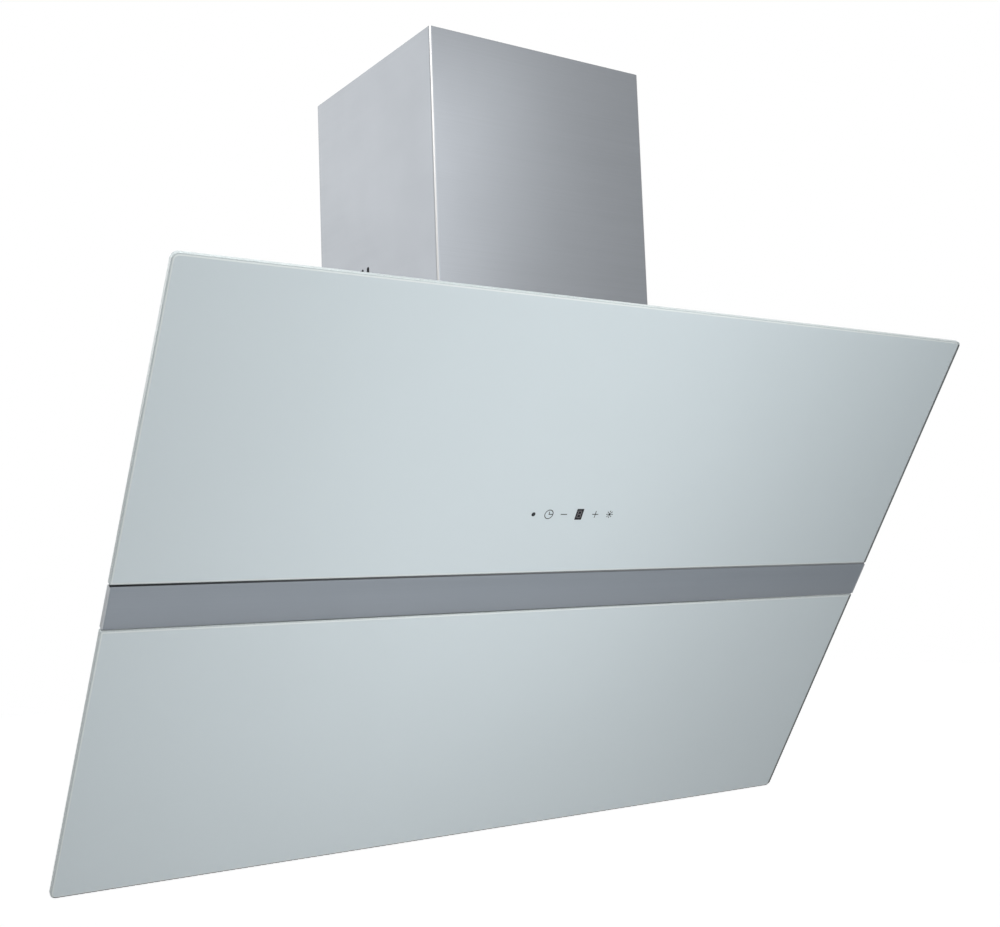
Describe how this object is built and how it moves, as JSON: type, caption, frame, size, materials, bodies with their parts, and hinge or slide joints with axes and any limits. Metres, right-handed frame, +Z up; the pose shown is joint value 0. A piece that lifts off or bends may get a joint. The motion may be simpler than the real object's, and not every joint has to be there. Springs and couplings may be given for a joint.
{
  "type": "slanted glass wall hood",
  "caption": "Wall extractor hood with inclined flat glass panes, a hinged lower pane over grease filters, a double-inlet blower and a telescopic chimney.",
  "frame": {"origin": "centre of the wall bolt pattern, in the plane of the wall", "axes": "+X to the viewer's right, +Y into the wall, +Z up"},
  "size_m": [0.9, 0.401, 0.8119],
  "materials": {
    "white_glass": "gloss",
    "band_aluminium": "satin",
    "brushed_chimney": "satin",
    "zinc_sheet": "matte",
    "bright_steel": "satin",
    "filter_aluminium": "matte",
    "black_plastic": "matte",
    "grey_plastic": "matte",
    "motor_lamination": "matte",
    "circuit_board": "satin",
    "opal_plastic": "satin"
  },
  "bodies": {
    "hood": {"upper_glass": "white_glass", "centre_band": "band_aluminium", "upper_glass_frame": "zinc_sheet", "panel_rail_left": "zinc_sheet", "panel_rail_right": "zinc_sheet", "casing_back_panel": "zinc_sheet", "casing_side_left": "zinc_sheet", "casing_side_right": "zinc_sheet", "casing_top_plate": "zinc_sheet", "casing_bottom_plate": "zinc_sheet", "casing_front_plate": "zinc_sheet", "hinge_fixed_left": "bright_steel", "hinge_fixed_right": "bright_steel", "catch_housings": "black_plastic", "catch_magnets": "bright_steel", "filter_frame_left": "filter_aluminium", "filter_frame_right": "filter_aluminium", "filter_mesh_left": "filter_aluminium", "filter_mesh_right": "filter_aluminium", "latch_guides": "filter_aluminium", "filter_clips": "bright_steel", "scroll_half_left": "grey_plastic", "scroll_half_right": "grey_plastic", "motor_can": "bright_steel", "motor_end_cover": "bright_steel", "motor_stator": "motor_lamination", "motor_bearings": "bright_steel", "motor_bracket": "bright_steel", "motor_capacitor": "filter_aluminium", "duct_collar": "grey_plastic", "damper_spindle": "bright_steel", "control_box": "black_plastic", "control_box_lid": "grey_plastic", "terminal_block": "opal_plastic", "cable_gland": "black_plastic", "touch_housing": "black_plastic", "touch_board": "circuit_board", "display_module": "black_plastic", "lamp_housing": "filter_aluminium", "lamp_board": "opal_plastic", "lamp_diffuser": "opal_plastic", "chimney_lower_cover": "brushed_chimney", "chimney_feet": "zinc_sheet", "casing_screws": "bright_steel", "blower_screws": "bright_steel"},
    "door": {"lower_glass": "white_glass", "door_frame": "zinc_sheet", "hinge_moving_left": "bright_steel", "hinge_moving_right": "bright_steel", "hinge_pins": "bright_steel", "strike_plates": "bright_steel"},
    "impeller": {"impeller": "black_plastic", "motor_shaft": "bright_steel", "motor_rotor": "motor_lamination"},
    "damper_front": {"damper_flap_front": "filter_aluminium"},
    "damper_rear": {"damper_flap_rear": "filter_aluminium"},
    "latch_left": {"filter_latch_left": "grey_plastic"},
    "latch_right": {"filter_latch_right": "grey_plastic"},
    "upper_cover": {"chimney_upper_cover": "brushed_chimney", "ceiling_bracket": "zinc_sheet"}
  },
  "joints": [
    {"name": "door_hinge", "type": "hinge", "parent": "hood", "child": "door", "pos_m": [0, -0.19709, -0.05564], "axis": [-1, 0, 0], "range_deg": [0, 80]},
    {"name": "impeller_spin", "type": "hinge", "parent": "hood", "child": "impeller", "pos_m": [0, -0.1022, 0.0848], "axis": [1, 0, 0], "continuous": true},
    {"name": "damper_front_hinge", "type": "hinge", "parent": "hood", "child": "damper_front", "pos_m": [0, -0.1457, 0.247], "axis": [-1, 0, 0], "range_deg": [0, 75]},
    {"name": "damper_rear_hinge", "type": "hinge", "parent": "hood", "child": "damper_rear", "pos_m": [0, -0.1457, 0.247], "axis": [1, 0, 0], "range_deg": [0, 75]},
    {"name": "filter_latch_left", "type": "slide", "parent": "hood", "child": "latch_left", "axis": [0, -0.5446, 0.8387], "range_m": [0, 0.006], "stiffness_N_per_m": 400, "springref_m": -0.002},
    {"name": "filter_latch_right", "type": "slide", "parent": "hood", "child": "latch_right", "axis": [0, -0.5446, 0.8387], "range_m": [0, 0.006], "stiffness_N_per_m": 400, "springref_m": -0.002},
    {"name": "chimney_slide", "type": "slide", "parent": "hood", "child": "upper_cover", "axis": [0, 0, 1], "range_m": [0, 0.16]}
  ]
}
